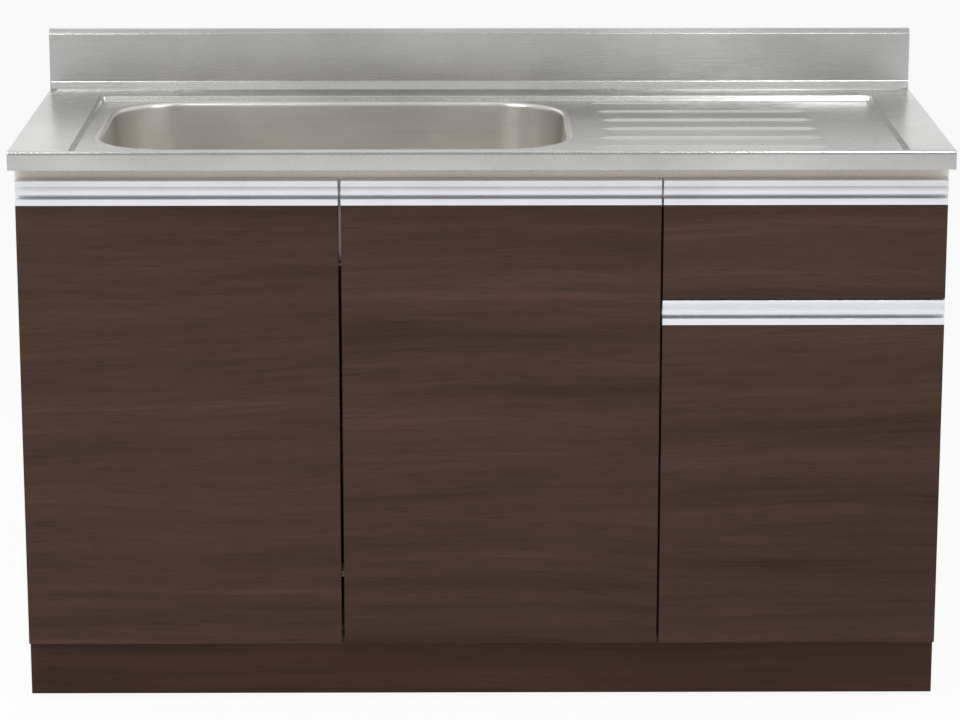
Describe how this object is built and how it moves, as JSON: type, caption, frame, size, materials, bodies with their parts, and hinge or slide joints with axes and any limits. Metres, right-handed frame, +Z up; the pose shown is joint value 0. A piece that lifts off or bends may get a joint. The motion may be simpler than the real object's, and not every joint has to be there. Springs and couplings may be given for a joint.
{
  "type": "kitchen sink unit",
  "caption": "Low kitchen cabinet with a pressed stainless sink top, drainboard and backguard, dark wood doors on cup hinges, a roller drawer and a trapped waste with lift-out basket.",
  "frame": {"origin": "on the floor, under the middle of the unit's bounding box", "axes": "+X to the right seen from the front, +Y to the wall behind, +Z up"},
  "size_m": [1.3, 0.55, 0.89],
  "materials": {
    "stainless": "satin",
    "waste_steel": "bright",
    "walnut_board": "satin laminate",
    "white_board": "melamine",
    "raw_board": "raw",
    "anodised": "satin anodised",
    "nickel": "nickel plated",
    "white_steel": "powder coat",
    "white_plastic": "moulded",
    "grey_plastic": "moulded",
    "black_rubber": "matte",
    "clear_rubber": "translucent"
  },
  "bodies": {
    "cabinet": {"side_panel_left": "white_board", "side_panel_right": "white_board", "partition_panel": "white_board", "bottom_panel_sink": "white_board", "bottom_panel_right": "white_board", "back_panel": "raw_board", "top_rail_rear": "white_board", "top_rail_front": "white_board", "base_rail_rear": "white_board", "plinth": "walnut_board", "drawer_divider": "white_board", "corner_blocks": "raw_board", "shelf_right": "white_board", "shelf_pins": "nickel", "worktop_sheet": "stainless", "sink_bowl": "stainless", "worktop_core_left": "raw_board", "worktop_core_right": "raw_board", "worktop_core_rear": "raw_board", "worktop_core_front": "raw_board", "worktop_core_drainboard": "raw_board", "backguard_core": "raw_board", "front_bumpers": "clear_rubber", "cabinet_rails": "white_steel", "hinge_arms": "nickel", "hinge_plates": "nickel", "hinge_screws": "nickel", "trap_body": "grey_plastic", "drain_flange": "waste_steel", "drain_gasket": "black_rubber", "drain_lock_nut": "grey_plastic", "outlet_nut": "grey_plastic", "bell_cup": "grey_plastic"},
    "hinge_link_left": {"hinge_links_left": "nickel"},
    "door_left": {"door_panel_left": "walnut_board", "door_handle_left": "anodised", "hinge_cups_left": "nickel"},
    "hinge_link_centre": {"hinge_links_centre": "nickel"},
    "door_centre": {"door_panel_centre": "walnut_board", "door_handle_centre": "anodised", "hinge_cups_centre": "nickel"},
    "hinge_link_right": {"hinge_links_right": "nickel"},
    "door_right": {"door_panel_right": "walnut_board", "door_handle_right": "anodised", "hinge_cups_right": "nickel"},
    "drawer": {"drawer_front": "walnut_board", "drawer_handle": "anodised", "drawer_side_left": "white_board", "drawer_side_right": "white_board", "drawer_bottom": "white_board", "drawer_back": "white_board", "drawer_slides": "white_steel"},
    "roller_front_left": {"roller_front_left": "white_plastic"},
    "roller_front_right": {"roller_front_right": "white_plastic"},
    "roller_rear_left": {"roller_rear_left": "white_plastic"},
    "roller_rear_right": {"roller_rear_right": "white_plastic"},
    "basket": {"strainer_basket": "waste_steel"},
    "cover": {"drain_cover": "black_rubber"}
  },
  "joints": [
    {"name": "door_left_arm_pivot", "type": "hinge", "parent": "cabinet", "child": "hinge_link_left", "pos_m": [-0.6075, -0.211, 0.166], "axis": [0, 0, -1], "range_deg": [-32.4, 0]},
    {"name": "door_left_cup_pivot", "type": "hinge", "parent": "hinge_link_left", "child": "door_left", "pos_m": [-0.6325, -0.2338, 0.166], "axis": [0, 0, -1], "range_deg": [0, 122.4]},
    {"name": "door_centre_arm_pivot", "type": "hinge", "parent": "cabinet", "child": "hinge_link_centre", "pos_m": [0.212, -0.211, 0.166], "axis": [0, 0, 1], "range_deg": [-32.4, 0]},
    {"name": "door_centre_cup_pivot", "type": "hinge", "parent": "hinge_link_centre", "child": "door_centre", "pos_m": [0.237, -0.2338, 0.166], "axis": [0, 0, 1], "range_deg": [0, 122.4]},
    {"name": "door_right_arm_pivot", "type": "hinge", "parent": "cabinet", "child": "hinge_link_right", "pos_m": [0.6075, -0.211, 0.166], "axis": [0, 0, 1], "range_deg": [-32.4, 0]},
    {"name": "door_right_cup_pivot", "type": "hinge", "parent": "hinge_link_right", "child": "door_right", "pos_m": [0.6325, -0.2338, 0.166], "axis": [0, 0, 1], "range_deg": [0, 122.4]},
    {"name": "drawer_slide", "type": "slide", "parent": "cabinet", "child": "drawer", "axis": [0, -1, 0], "range_m": [0, 0.33]},
    {"name": "roller_front_left_turn", "type": "hinge", "parent": "cabinet", "child": "roller_front_left", "pos_m": [0.2625, -0.214, 0.621], "axis": [1, 0, 0], "range_deg": [0, 1895]},
    {"name": "roller_rear_left_turn", "type": "hinge", "parent": "drawer", "child": "roller_rear_left", "pos_m": [0.2625, 0.202, 0.618], "axis": [1, 0, 0], "range_deg": [0, 1895]},
    {"name": "roller_front_right_turn", "type": "hinge", "parent": "cabinet", "child": "roller_front_right", "pos_m": [0.6255, -0.214, 0.621], "axis": [1, 0, 0], "range_deg": [0, 1895]},
    {"name": "roller_rear_right_turn", "type": "hinge", "parent": "drawer", "child": "roller_rear_right", "pos_m": [0.6255, 0.202, 0.618], "axis": [1, 0, 0], "range_deg": [0, 1895]},
    {"name": "basket_lift", "type": "slide", "parent": "cabinet", "child": "basket", "axis": [0, 0, 1], "range_m": [0, 0.25]},
    {"name": "cover_lift", "type": "slide", "parent": "basket", "child": "cover", "axis": [0, 0, 1], "range_m": [0, 0.15]}
  ],
  "couplings": [
    {"joint": "door_left_arm_pivot", "follows": "door_left_cup_pivot", "ratio": -0.2647},
    {"joint": "door_centre_arm_pivot", "follows": "door_centre_cup_pivot", "ratio": -0.2647},
    {"joint": "door_right_arm_pivot", "follows": "door_right_cup_pivot", "ratio": -0.2647},
    {"joint": "roller_front_left_turn", "follows": "drawer_slide", "rad_per_m": 100},
    {"joint": "roller_rear_left_turn", "follows": "drawer_slide", "rad_per_m": 100},
    {"joint": "roller_front_right_turn", "follows": "drawer_slide", "rad_per_m": 100},
    {"joint": "roller_rear_right_turn", "follows": "drawer_slide", "rad_per_m": 100}
  ]
}
